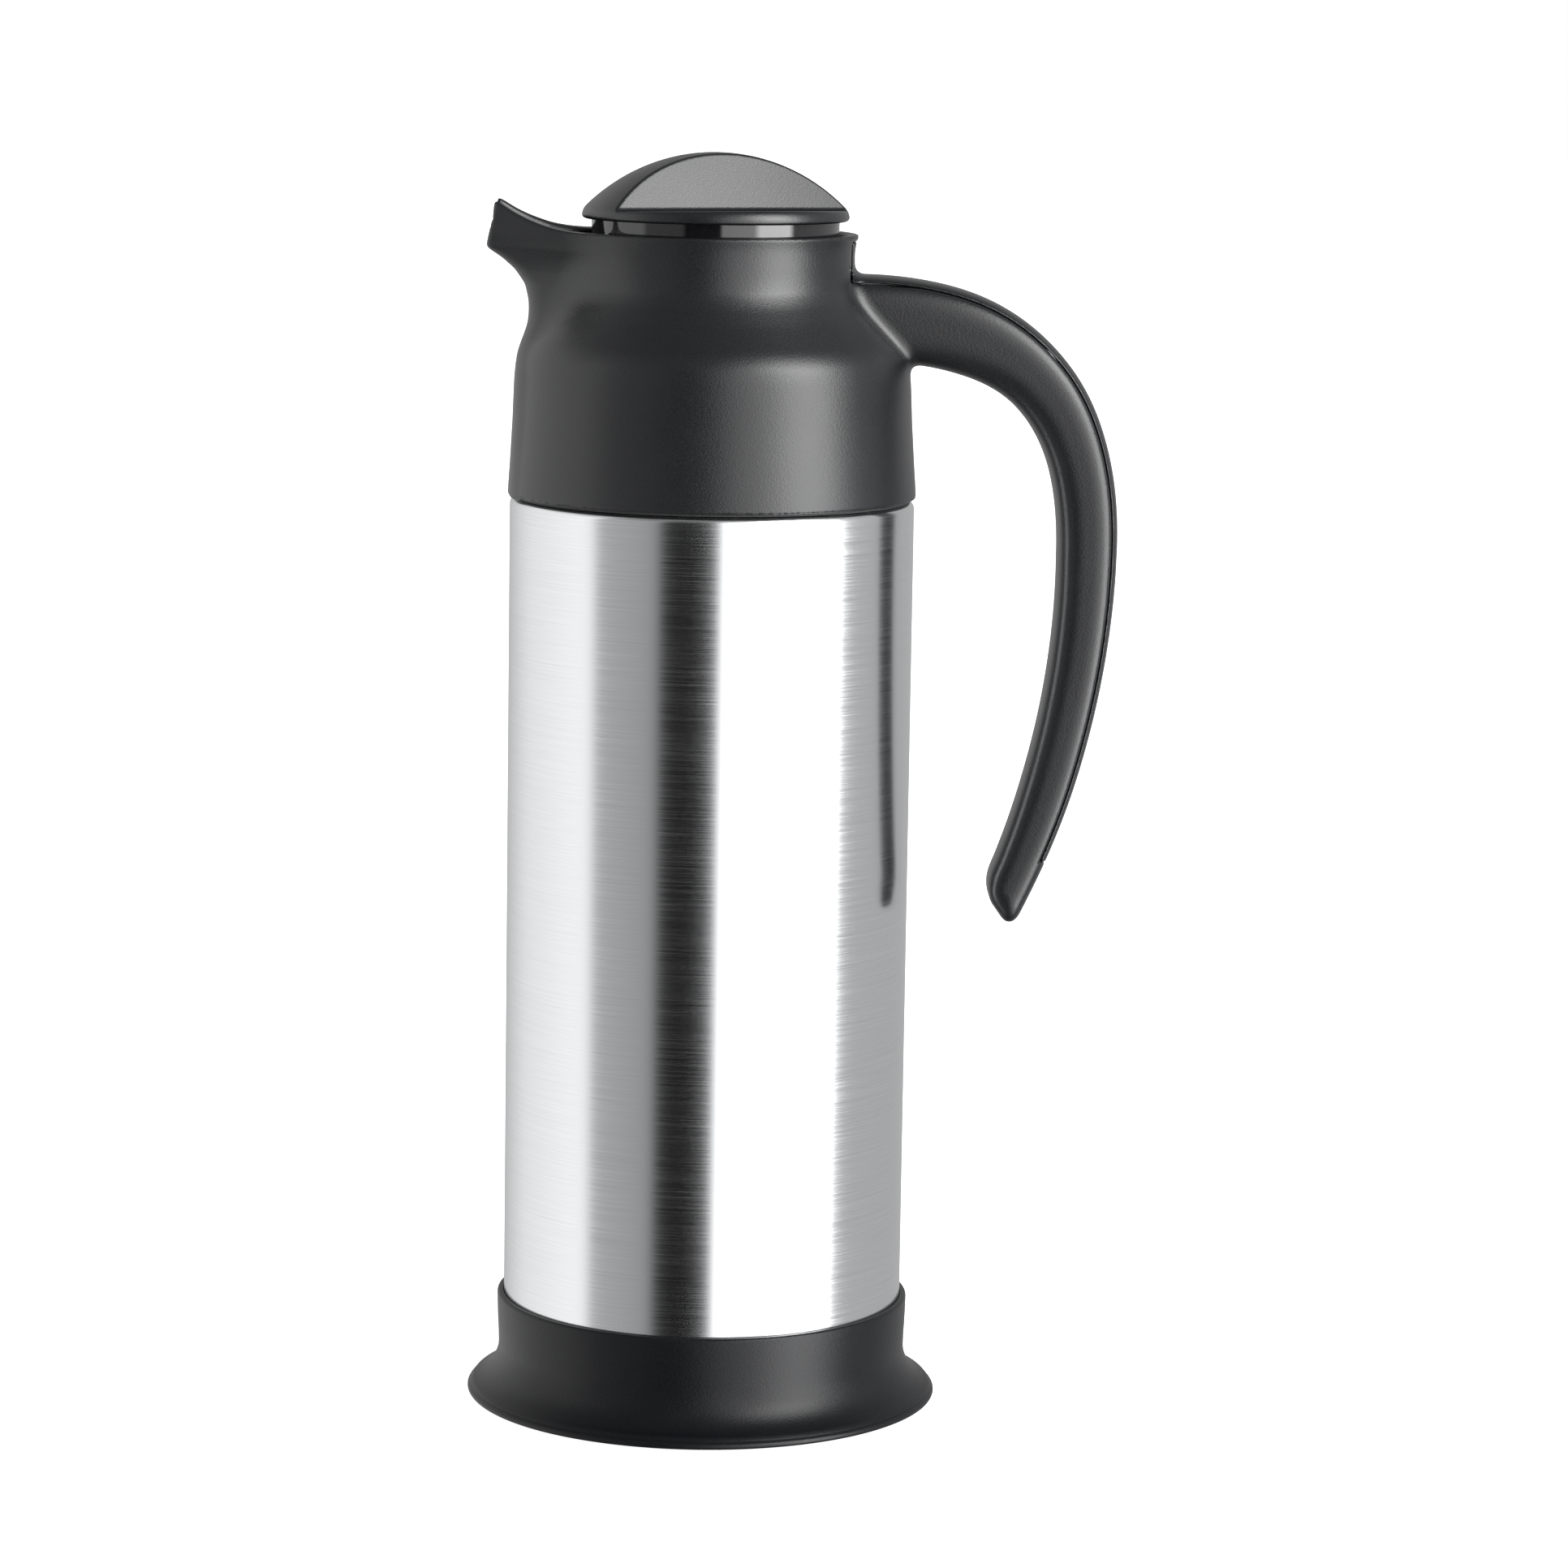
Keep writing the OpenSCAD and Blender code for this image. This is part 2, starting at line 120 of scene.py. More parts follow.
# Each solid below is a function of points that is negative inside it, close to the distance in mm.
# The tables give the moulding's outer and inner radius by height, the spout's reach from the axis and
# half width by height, and the height of the rim by X.
T = BODY_TOP
OUTER = table([
    (T, BODY_R + 0.35), (T + 1.8, BODY_R + 0.3), (T + 8.5, BODY_R - 0.2), (T + 17.5, BODY_R - 0.8),
    (T + 24.5, BODY_R - 1.1), (T + 28.5, BODY_R - 1.4), (T + 31.6, BODY_R - 2), (T + 34.1, BODY_R - 3.4),
    (T + 36.9, BODY_R - 6), (T + 40.2, BODY_R - 9), (T + 43.8, BODY_R - 11.8), (T + 46.7, BODY_R - 13.4),
    (T + 50.2, BODY_R - 14), (T + 54, BODY_R - 14.15), (T + 56, BODY_R - 14), (T + 57.5, BODY_R - 13.55),
    (T + 59.5, BODY_R - 12.9)], blur=0.9)
INNER = table([
    (T, BODY_R - 2.3), (T + 8.6, BODY_R - 2.3), (T + 9.4, BODY_R - 2.9), (T + 17.2, BODY_R - 3.4),
    (T + 26.2, BODY_R - 3.8), (T + 30.4, BODY_R - 4.4), (T + 32.8, BODY_R - 5.8), (T + 35.7, BODY_R - 8.4),
    (T + 39, BODY_R - 11.4), (T + 42.5, BODY_R - 14.4), (T + 45, BODY_R - 16.1), (T + 60, BODY_R - 16.1)])
SPOUT_REACH = table([
    (T + 28, 41.6), (T + 32.2, 41.5), (T + 38.2, 41.05), (T + 43, 41.25), (T + 46.6, 42.1), (T + 50, 44.3),
    (T + 52.5, 47), (T + 54.9, 50.45), (T + 58.5, 49.9), (T + 66.2, 48.4)], blur=0.45)
SPOUT_HALF = table([
    (T + 28, 12), (T + 32.2, 10), (T + 38.2, 7), (T + 44.7, 5.4), (T + 48.4, 5.2), (T + 51.9, 5.4),
    (T + 54.9, 6.4), (T + 58.5, 9), (T + 66.2, 10.5)], blur=1.2)
RIM_LINE = table([
    (-60, RIM + 13), (-47.1, RIM + 6.1), (-44.4, RIM + 4.3), (-41, RIM + 2.7), (-36.5, RIM + 1.1),
    (-32.7, RIM + 0.4), (-28, RIM), (0, RIM), (60, RIM)], blur=1.2)


def cubic(p, t):
    """Points on a cubic Bezier curve."""
    p = np.array(p, float)
    t = t[:, None]
    return (1 - t) ** 3 * p[0] + 3 * t * (1 - t) ** 2 * p[1] + 3 * t * t * (1 - t) * p[2] + t ** 3 * p[3]


PATH_STEP = 0.5


def handle_path():
    """The handle's middle line in even steps, with its direction, half thickness and half width."""
    top = HANDLE_TOP - 10.1
    t = np.linspace(0, 1, 1500)
    out = cubic([[26, top], [66, top + 3], [84.5, top - 15.2], [83.6, top - 52.2]], t)
    down = cubic([[83.6, top - 52.2], [83.5, top - 75.2], [78.3, top - 103.2], [67, top - 127.7]], t)
    before = out[0] + np.linspace(-14, 0, 200, endpoint=False)[:, None] * [0.997, 0.075]
    end = down[-1] - down[-2]
    past = down[-1] + np.linspace(0.05, 16, 200)[:, None] * end / np.linalg.norm(end)
    line = np.concatenate([before, out, down[1:], past])
    s = np.concatenate([np.zeros(200), t, 1 + t[1:], np.full(200, 2.0)])
    run = np.concatenate([[0], np.cumsum(np.linalg.norm(np.diff(line, axis=0), axis=1))])
    at = np.arange(0, run[-1], PATH_STEP)
    centre = np.stack([np.interp(at, run, line[:, i]) for i in (0, 1)], 1)
    s = np.interp(at, run, s)
    half_t = np.interp(s, [0, 0.3, 0.5, 0.75, 1, 1.7, 2], [9.9, 9, 7.7, 6.9, 6.65, 5.8, 5.15])
    half_y = np.interp(s, [0, 1, 2], [10.5, 9.5, 8.2])
    kernel = np.exp(-0.5 * (np.arange(-16, 17) / 6.0) ** 2)
    half_t, half_y = (np.convolve(np.pad(v, 16, "edge"), kernel / kernel.sum(), "valid")
                      for v in (half_t, half_y))
    along = np.gradient(centre, axis=0)
    along /= np.linalg.norm(along, axis=1)[:, None]
    return centre, along, half_t, half_y, s


CENTRE, ALONG, HALF_T, HALF_Y, HANDLE_S = handle_path()
HANDLE_RUN = np.arange(len(CENTRE)) * PATH_STEP
HANDLE_SQUARENESS = 3.3
COVER_T = 1.6
COVER_FROM = 18.2
COVER_TO = np.interp(1.88, HANDLE_S, HANDLE_RUN)
TOE_AT = (64.1, HANDLE_TOP - 140.5)
TOE_FACING = (-0.816, -0.578)

# For each point of a 1 mm grid in the handle's plane, the nearest step of its middle line
GRID_X = np.arange(10, 96.0)
GRID_Z = np.arange(HANDLE_TOP - 158, HANDLE_TOP + 12)
NEAREST = np.stack([
    ((x - CENTRE[None, :, 0]) ** 2 + (GRID_Z[:, None] - CENTRE[None, :, 1]) ** 2).argmin(1) for x in GRID_X])


def handle_frame(p):
    """Distance along the handle, height above its middle line, and its half sizes there."""
    i = np.clip(np.rint(p[:, 0] - GRID_X[0]).astype(int), 0, len(GRID_X) - 1)
    j = np.clip(np.rint(p[:, 2] - GRID_Z[0]).astype(int), 0, len(GRID_Z) - 1)
    run = NEAREST[i, j] * PATH_STEP
    for _ in range(2):
        run = np.clip(run, 0, HANDLE_RUN[-1])
        cx, cz = (np.interp(run, HANDLE_RUN, CENTRE[:, k]) for k in (0, 1))
        ax, az = (np.interp(run, HANDLE_RUN, ALONG[:, k]) for k in (0, 1))
        run = run + (p[:, 0] - cx) * ax + (p[:, 2] - cz) * az
    above = -(p[:, 0] - cx) * az + (p[:, 2] - cz) * ax
    return run, above, np.interp(run, HANDLE_RUN, HALF_T), np.interp(run, HANDLE_RUN, HALF_Y)


def handle_body(p):
    """The handle, a superellipse in section with an oblique toe, and the layer that is its cover."""
    run, above, half_t, half_y = handle_frame(p)
    n = HANDLE_SQUARENESS
    a, b = np.abs(p[:, 1]) / half_y, np.abs(above) / half_t
    rho = (a ** n + b ** n) ** (1 / n) + 1e-6
    grad = rho ** (1 - n) * np.hypot(a ** (n - 1) / half_y, b ** (n - 1) / half_t) + 1e-6
    body = (rho - 1) / np.maximum(grad, 0.05)
    toe = (p[:, 0] - TOE_AT[0]) * TOE_FACING[0] + (p[:, 2] - TOE_AT[1]) * TOE_FACING[1]
    cover = np.maximum.reduce([
        half_t - COVER_T - above, above - half_t - 1.5, COVER_FROM - run, run - COVER_TO])
    return smax(body, toe, 4.5), cover


def shoulder_outer(p):
    """Everything inside the shoulder's outer radius."""
    r = np.hypot(p[:, 0], p[:, 1])
    return (r - look(OUTER, p[:, 2])) / np.hypot(1, slope(OUTER, p[:, 2]))


SPOUT_ROOT_X, SPOUT_ROOT_HALF = -12, 26.3
NOSE_LENGTH = 3
CHEEK_HALF = 24.6


def spout_outer(p):
    """The spout's outside: two cheeks that narrow from the shoulder to a rounded nose."""
    z = p[:, 2]
    reach, half = look(SPOUT_REACH, z), look(SPOUT_HALF, z)
    widening = (SPOUT_ROOT_HALF - half) / (SPOUT_ROOT_X + reach - NOSE_LENGTH)
    side = (np.abs(p[:, 1]) - half - widening * (p[:, 0] + reach - NOSE_LENGTH)) / np.hypot(1, widening)
    side = smax(side, np.abs(p[:, 1]) - CHEEK_HALF, 4.0)
    nose = (-reach - p[:, 0]) / np.hypot(1, slope(SPOUT_REACH, z))
    nose_round = np.interp(z, [T + 48, T + 56], [3.5, 1.0])
    return np.maximum(smax(side, nose, nose_round), p[:, 0] + 2)


CHANNEL_RISE, CHANNEL_SPLAY = math.radians(13), math.radians(9)
CHANNEL_START = (-50.4, 0, RIM - 0.8)
CHANNEL_LENGTH = 37
CHANNEL_BELOW = 1.5


def channel(p):
    """The pouring channel: two round-bottomed cuts that part and sink towards the neck."""
    out = np.full(len(p), 1e3)
    rise_c, rise_s = math.cos(CHANNEL_RISE), math.sin(CHANNEL_RISE)
    q = p - np.array(CHANNEL_START)
    for side in (-1, 1):
        turn_c, turn_s = math.cos(CHANNEL_SPLAY), side * math.sin(CHANNEL_SPLAY)
        along = q @ [rise_c * turn_c, rise_c * turn_s, -rise_s]
        across = q @ [-turn_s, turn_c, 0]
        radius = np.interp(along, [0, 14], [6.6, 8.0])
        height = q @ [rise_s * turn_c, rise_s * turn_s, rise_c] + CHANNEL_BELOW - radius
        trough = np.where(height < 0, np.hypot(across, height), np.abs(across)) - radius
        out = smin(out, np.maximum(trough, along - CHANNEL_LENGTH), 2.0)
    return out


# The cover's tongue lies in a recess down the back of the neck.
TONGUE_HALF, TONGUE_TOP, TONGUE_BACK_X = 6.7, RIM - 1.6, 30.1
RECESS_HALF, RECESS_TOP, RECESS_BACK_X = 8.15, RIM - 1.5, 30.05


def moulding(p):
    """Shoulder, spout and handle in one, open through the neck and below."""
    x, y, z = p.T
    body, cover = handle_body(p)
    skin = smax(shoulder_outer(p), BODY_TOP + 0.45 - z, 0.7)
    f = smin(skin, spout_outer(p), 5.0)
    f = smin(f, body, 3.0)
    f = smax(f, (z - look(RIM_LINE, x)) / np.hypot(1, slope(RIM_LINE, x)), 0.7)
    f = smax(f, (look(INNER, z) - np.hypot(x, y)) / np.hypot(1, slope(INNER, z)), 0.8)
    f = smax(f, -channel(p), 1.3)
    f = smax(f, -cover, 0.7)
    recess = np.maximum.reduce([
        RECESS_BACK_X - x, np.abs(y) - RECESS_HALF, z - RECESS_TOP, HANDLE_TOP - 2.4 - z])
    return smax(f, -recess, 0.5)


def back_strip(p):
    """The handle's cover with its tongue up the back of the neck."""
    x, y, z = p.T
    body, cover = handle_body(p)
    strip = smax(body, cover + 0.05, 0.7)
    tongue = smax(shoulder_outer(p), np.abs(y) - TONGUE_HALF, 0.5)
    tongue = smax(tongue, z - TONGUE_TOP, 0.6)
    tongue = np.maximum(tongue, HANDLE_TOP - 2.3 - z)
    return np.maximum(smin(strip, tongue, 2.5), TONGUE_BACK_X - x)


# ------------------------------------------------------------------ the stopper's cap

RIDGE_TURN = math.radians(21)
RIDGE_HALF = 3.7
DOME_R = 40.4
SCOOP_R = 250.0
SCOOP_LEAN = 0.4
SCOOP_FLOOR = FLANGE + 2.2
FLOOR_TILT = 0.045
FLOOR_FROM = 8.6


def cap(p):
    """The stopper's domed cap, with a finger hollow on each side of the grip ridge."""
    x, y, z = p.T
    r = np.hypot(x, y)
    dome = np.hypot(r, z - (CAP_TOP - DOME_R)) - DOME_R
    f = smax(dome, r - CAP_R, 1.0)
    f = rounded(f, FLANGE - z, 0.9)
    reach = SCOOP_R + RIDGE_HALF
    for side in (-1, 1):
        rho = np.hypot(x + side * reach * math.sin(RIDGE_TURN), y - side * reach * math.cos(RIDGE_TURN))
        wall = (rho - SCOOP_R + SCOOP_LEAN * (FLANGE + 15 - z)) / math.hypot(1, SCOOP_LEAN)
        floor = SCOOP_FLOOR + FLOOR_TILT * (reach - FLOOR_FROM - rho)
        f = smax(f, -rounded(wall, floor - z, 0.9), 0.5)
    return f


# ------------------------------------------------------------------ meshing


def surface_net(f, low, high, step):
    """A closed quad mesh on f = 0, with each point moved onto the surface and its true normal.

    The field is sampled in blocks of 8 cells, and in full only in the blocks near the surface.
    """
    low = np.array(low, float)
    blocks = np.ceil((np.array(high, float) - low) / (8 * step)).astype(int) + 1
    grid = np.stack(np.meshgrid(*[np.arange(n) for n in blocks], indexing="ij"), -1).reshape(-1, 3)
    middle = f(low + (grid * 8 + 3.5) * step)
    dense = np.repeat(np.repeat(np.repeat(
        np.where(middle < 0, -1.0, 1.0).reshape(blocks), 8, 0), 8, 1), 8, 2).astype(np.float32)
    near = np.abs(middle) < 8 * step * 0.87 * 1.6 + 1
    cells = dense.reshape(blocks[0], 8, blocks[1], 8, blocks[2], 8)
    offs = np.stack(np.meshgrid(*[np.arange(8)] * 3, indexing="ij"), -1).reshape(-1, 3)
    for part in np.array_split(grid[near], max(1, near.sum() // 600)):
        pts = low + (part[:, None] * 8 + offs[None]) * step
        cells[part[:, 0], :, part[:, 1], :, part[:, 2], :] = f(pts.reshape(-1, 3)).reshape(-1, 8, 8, 8)
    shape = dense.shape
    inside = dense < 0
    # Each grid edge that crosses the surface gives a quad between the four cells round it, and each
    # cell's point is the mean of the crossings on its edges.
    sums, quads = [], []
    for axis in range(3):
        u, w = (axis + 1) % 3, (axis + 2) % 3
        a = [slice(None)] * 3
        b = [slice(None)] * 3
        a[axis], b[axis] = slice(None, -1), slice(1, None)
        at = np.argwhere(inside[tuple(a)] != inside[tuple(b)])
        nxt = at.copy()
        nxt[:, axis] += 1
        f0, f1 = dense[tuple(at.T)], dense[tuple(nxt.T)]
        point = at.astype(float)
        point[:, axis] += f0 / (f0 - f1)
        ids = []
        for du, dw in ((1, 1), (0, 1), (0, 0), (1, 0)):
            c = at.copy()
            c[:, u] -= du
            c[:, w] -= dw
            ids.append((c[:, 0] * shape[1] + c[:, 1]) * shape[2] + c[:, 2])
        quad = np.stack(ids, 1)
        sums += [(quad[:, i], point) for i in range(4)]
        quads.append(np.where((f0 < 0)[:, None], quad, quad[:, ::-1]))
    quads = np.concatenate(quads)
    cell, index = np.unique(np.concatenate([s[0] for s in sums]), return_inverse=True)
    points = np.concatenate([s[1] for s in sums])
    count = np.bincount(index)
    verts = np.stack([np.bincount(index, points[:, i]) / count for i in range(3)], 1) * step + low
    quads = np.searchsorted(cell, quads)
    h = 0.04
    for _ in range(3):
        g = np.stack([f(verts + h * e) - f(verts - h * e) for e in np.eye(3)], 1) / (2 * h)
        move = f(verts) / np.maximum((g * g).sum(1), 0.2)
        verts = verts - np.clip(move, -0.4 * step, 0.4 * step)[:, None] * g
    g /= np.linalg.norm(g, axis=1)[:, None] + 1e-9
    return verts, quads, g


def make_piece(name, verts, faces, body, replaces, slot, normals=None, sharp=None):
    """A visual piece from a mesh in mm, riding on a body in place of the named CAD nodes."""
    mesh = bpy.data.meshes.new(name)
    mesh.from_pydata((np.array(verts) / MM).tolist(), [], np.array(faces).tolist())
    mesh.shade_smooth()
    if sharp:
        mesh.set_sharp_from_angle(angle=math.radians(sharp))
    if normals is not None:
        mesh.normals_split_custom_set_from_vertices(normals.tolist())
    obj = bpy.data.objects.new(name, mesh)
    bpy.context.scene.collection.objects.link(obj)
    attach(obj, body)
    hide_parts(*replaces)
    return obj


def arc(cx, cz, r, a0, a1, n):
    """Points on an arc from angle a0 to a1 in degrees."""
    return [(cx + r * math.cos(math.radians(a0 + (a1 - a0) * i / n)),
             cz + r * math.sin(math.radians(a0 + (a1 - a0) * i / n))) for i in range(n + 1)]


def revolve(profile, segments=256):
    """A closed ring from a closed profile of (r, z) points."""
    n = len(profile)
    prof = np.array(profile)
    turn = np.arange(segments) * 2 * math.pi / segments
    verts = np.stack([prof[:, 0] * np.cos(turn)[:, None], prof[:, 0] * np.sin(turn)[:, None],
                      np.broadcast_to(prof[:, 1], (segments, n))], -1).reshape(-1, 3)
    k, i = np.meshgrid(np.arange(segments), np.arange(n), indexing="ij")
    k2, i2 = (k + 1) % segments, (i + 1) % n
    return verts, np.stack([k * n + i, k2 * n + i, k2 * n + i2, k * n + i2], -1).reshape(-1, 4)


def split_long(points, longest=6.0):
    """The closed profile with its long sides divided."""
    out = []
    for a, b in zip(points, points[1:] + points[:1]):
        n = max(1, int(math.ceil(math.hypot(b[0] - a[0], b[1] - a[1]) / longest)))
        out += [(a[0] + (b[0] - a[0]) * i / n, a[1] + (b[1] - a[1]) * i / n) for i in range(n)]
    return out


# ------------------------------------------------------------------ pieces

STEP = 0.55
verts, quads, normals = surface_net(moulding, (-53, -48, HANDLE_TOP - 148), (93, 48, RIM + 8), STEP)
moulded = make_piece("shoulder_moulding", verts, quads, "root", ["shoulder", "spout", "handle"],
                     "satin_black", normals)
verts, quads, normals = surface_net(back_strip, (28, -10, HANDLE_TOP - 135), (92, 10, RIM + 2), STEP * 0.8)
strip = make_piece("handle_back", verts, quads, "root", ["handle_cover"], "satin_black", normals)
cap_out = CAP_R + 2
verts, quads, normals = surface_net(cap, (-cap_out, -cap_out, FLANGE - 2), (cap_out, cap_out, CAP_TOP + 2),
                                    STEP * 0.65)
lid = make_piece("stopper_dome", verts, quads, "stopper", ["stopper_cap"], "cap_black", normals)

# The steel wall rolls in over a lip at its upper edge. Its profile goes up the outside and down the inside.
lip = 1.9
steel_profile = ([(BODY_R, BODY_LOW[2])] + arc(BODY_R - lip, BODY_TOP - lip, lip, 0, 90, 12)
                 + [(BODY_R - 2.6, BODY_TOP), (BODY_R - 2.6, BODY_TOP - 0.6)]
                 + arc(BODY_R - lip, BODY_TOP - lip, lip - 0.6, 90, 0, 8) + [(BODY_R - 0.6, BODY_LOW[2])])
wall = make_piece("steel_wall", *revolve(split_long(steel_profile)), "root", ["outer_shell"], "steel",
                  sharp=40)

# Down the collar round the steel, out over the flare to the flange, and back in under the base
base_profile = ([(BODY_R + 0.15, BASE_TOP)] + arc(BODY_R + 0.75, BASE_TOP - 0.7, 0.7, 90, 0, 8)
                + [(BODY_R + 1.42, BASE_TOP - 2.5), (BODY_R + 1.3, 18), (BODY_R + 1.12, 14.6)]
                + arc(BODY_R + 10.4, 12.1, 9.35, 180, 248, 28)
                + [(BASE_R - 0.62, 2.72), (BASE_R - 0.66, 2.58), (BASE_R - 0.5, 2.46)]
                + arc(BASE_R - 0.75, 1.7, 0.75, 62, -70, 10)
                + [(48.9, 0.8), (48.9, 2.9), (45.6, 6.2), (28, 6.2), (28, 8.4), (BODY_R + 0.15, 8.4)])
foot = make_piece("base_flare", *revolve(split_long(base_profile)), "root", ["base_ring"], "satin_black",
                  sharp=38)

# ------------------------------------------------------------------ materials


class Mat:
    """A small builder for node materials."""

    def __init__(self, name):
        self.mat = bpy.data.materials.new(name)
        self.mat.use_nodes = True
        self.tree = self.mat.node_tree
        self.bsdf = self.tree.nodes["Principled BSDF"]
        self.coord = self.tree.nodes.new("ShaderNodeTexCoord").outputs["Object"]

    def link(self, a, b):
        self.tree.links.new(a, b)

    def set(self, **values):
        for name, value in values.items():
            self.bsdf.inputs[name.replace("_", " ")].default_value = value

    def noise(self, scale, detail=3.0, rough=0.5):
        """Noise at a scale per metre; scale may be one number or three."""
        mapping = self.tree.nodes.new("ShaderNodeMapping")
        self.link(self.coord, mapping.inputs["Vector"])
        mapping.inputs["Scale"].default_value = scale if isinstance(scale, tuple) else (scale,) * 3
        node = self.tree.nodes.new("ShaderNodeTexNoise")
        node.inputs["Scale"].default_value = 1.0
        node.inputs["Detail"].default_value = detail
        node.inputs["Roughness"].default_value = rough
        self.link(mapping.outputs["Vector"], node.inputs["Vector"])
        return node.outputs["Fac"]

    def spread(self, value, low, high, lo_in=0.3, hi_in=0.7):
        node = self.tree.nodes.new("ShaderNodeMapRange")
        node.inputs["From Min"].default_value, node.inputs["From Max"].default_value = lo_in, hi_in
        node.inputs["To Min"].default_value, node.inputs["To Max"].default_value = low, high
        self.link(value, node.inputs["Value"])
        return node.outputs["Result"]

    def math(self, op, a, b):
        node = self.tree.nodes.new("ShaderNodeMath")
        node.operation = op
        for i, v in enumerate((a, b)):
            if isinstance(v, (int, float)):
                node.inputs[i].default_value = v
            else:
                self.link(v, node.inputs[i])
        return node.outputs[0]

    def colour(self, fac, dark, light):
        node = self.tree.nodes.new("ShaderNodeMix")
        node.data_type = "RGBA"
        node.inputs[6].default_value = (*dark, 1)
        node.inputs[7].default_value = (*light, 1)
        self.link(fac, node.inputs["Factor"])
        self.link(node.outputs[2], self.bsdf.inputs["Base Color"])

    def bump(self, height, strength, distance):
        node = self.tree.nodes.new("ShaderNodeBump")
        node.inputs["Strength"].default_value = strength
        node.inputs["Distance"].default_value = distance
        self.link(height, node.inputs["Height"])
        self.link(node.outputs["Normal"], self.bsdf.inputs["Normal"])


def plastic(name, dark, light, rough, grain, bump, specular=0.5):
    """Moulded plastic: a fine spark-eroded grain, slow gloss changes and a faint tone change."""
    m = Mat(name)
    m.set(Specular_IOR_Level=specular)
    fine = m.noise(grain, 2.0, 0.6)
    slow = m.noise(28.0, 3.0)
    tone = m.math("ADD", m.math("MULTIPLY", fine, 0.6), m.math("MULTIPLY", slow, 0.4))
    m.colour(m.spread(tone, 0.0, 1.0, 0.35, 0.65), dark, light)
    m.link(m.spread(m.math("ADD", m.math("MULTIPLY", fine, 0.35), m.math("MULTIPLY", slow, 0.65)),
                    rough - 0.03, rough + 0.04), m.bsdf.inputs["Roughness"])
    m.bump(fine, bump, 0.00006)
    return m.mat


def metal(name, dark, light, rough, brushed):
    """Steel: brushing drawn round the axis where brushed, otherwise a drawn grain."""
    m = Mat(name)
    m.set(Metallic=1.0)
    if brushed:
        m.set(Anisotropic=0.55)
        tangent = m.tree.nodes.new("ShaderNodeTangent")
        tangent.direction_type, tangent.axis = "RADIAL", "Z"
        m.link(tangent.outputs["Tangent"], m.bsdf.inputs["Tangent"])
    fine = m.noise((40.0, 40.0, 6500.0), 2.0, 0.6) if brushed else m.noise((500.0, 500.0, 900.0), 3.0)
    band = m.noise((30.0, 30.0, 3000.0), 2.0, 0.5) if brushed else m.noise(60.0, 2.0)
    both = m.math("ADD", m.math("MULTIPLY", fine, 0.85), m.math("MULTIPLY", band, 0.15))
    m.colour(m.spread(both, 0.0, 1.0, 0.3, 0.7), dark, light)
    m.link(m.spread(both, rough - 0.03, rough + 0.05), m.bsdf.inputs["Roughness"])
    m.bump(both, 0.12, 0.00002)
    return m.mat


def rubber(name, dark, light, rough):
    """Rubber or silicone: a duller moulding."""
    return plastic(name, dark, light, rough, 2500.0, 0.25, specular=0.35)


MATS = {
    "steel": metal("brushed steel", (0.62, 0.63, 0.64), (0.69, 0.70, 0.71), 0.16, True),
    "plain_steel": metal("drawn steel", (0.50, 0.51, 0.52), (0.62, 0.63, 0.64), 0.3, False),
    "satin_black": plastic("satin moulding", (0.0035, 0.0039, 0.0048), (0.0065, 0.007, 0.0083), 0.35,
                           2400.0, 0.7),
    # The base's copy of the satin moulding is darker and has half the specular: painted shade, because the
    # light from above reaches the base less than the shoulder
    "base_black": plastic("base moulding with painted shade", (0.002, 0.0023, 0.003), (0.004, 0.0044, 0.0056), 0.36,
                          2400.0, 0.7, 0.25),
    "cap_black": plastic("cap moulding", (0.004, 0.0044, 0.0053), (0.0072, 0.0077, 0.009), 0.33, 2600.0, 0.6),
    "gloss_black": plastic("polished moulding", (0.006, 0.006, 0.007), (0.008, 0.008, 0.009), 0.06,
                           900.0, 0.01, 0.7),
    "seal_black": rubber("black rubber", (0.018, 0.018, 0.018), (0.03, 0.03, 0.03), 0.62),
    "silicone": rubber("silicone", (0.42, 0.42, 0.40), (0.52, 0.52, 0.50), 0.45),
    "foam": plastic("rigid foam", (0.66, 0.62, 0.52), (0.82, 0.78, 0.68), 0.8, 1200.0, 0.8),
    "getter_metal": metal("getter", (0.25, 0.25, 0.26), (0.4, 0.4, 0.41), 0.55, False),
    "solder": metal("solder glass", (0.40, 0.34, 0.20), (0.55, 0.48, 0.30), 0.4, False),
}

slot_of = {s["node"]: s["material_slot"] for s in frame["record"]["subparts"]}
for name, obj in frame["nodes"].items():
    obj.data.materials.clear()
    obj.data.materials.append(MATS[slot_of[name]])
# The base flare takes the darker base copy of the moulding, which carries painted shade
for obj, slot in ((moulded, "satin_black"), (strip, "satin_black"), (lid, "cap_black"), (wall, "steel"),
                  (foot, "base_black")):
    obj.data.materials.append(MATS[slot])

# ------------------------------------------------------------------ floor, light, camera

# Azimuth in degrees (0 towards the camera, + to the right) and brightness: soft panels and a dark card
PANELS = [(-180, 0.42), (-150, 0.75), (-125, 1.1), (-72, 1.4), (-66, 0.55), (-31, 0.44), (-27, 0.01),
          (4, 0.01), (7, 2.4), (36, 2.9), (42, 8.6), (72, 8.6), (78, 0.6), (180, 0.5)]
PANEL_STRENGTH = 10.0


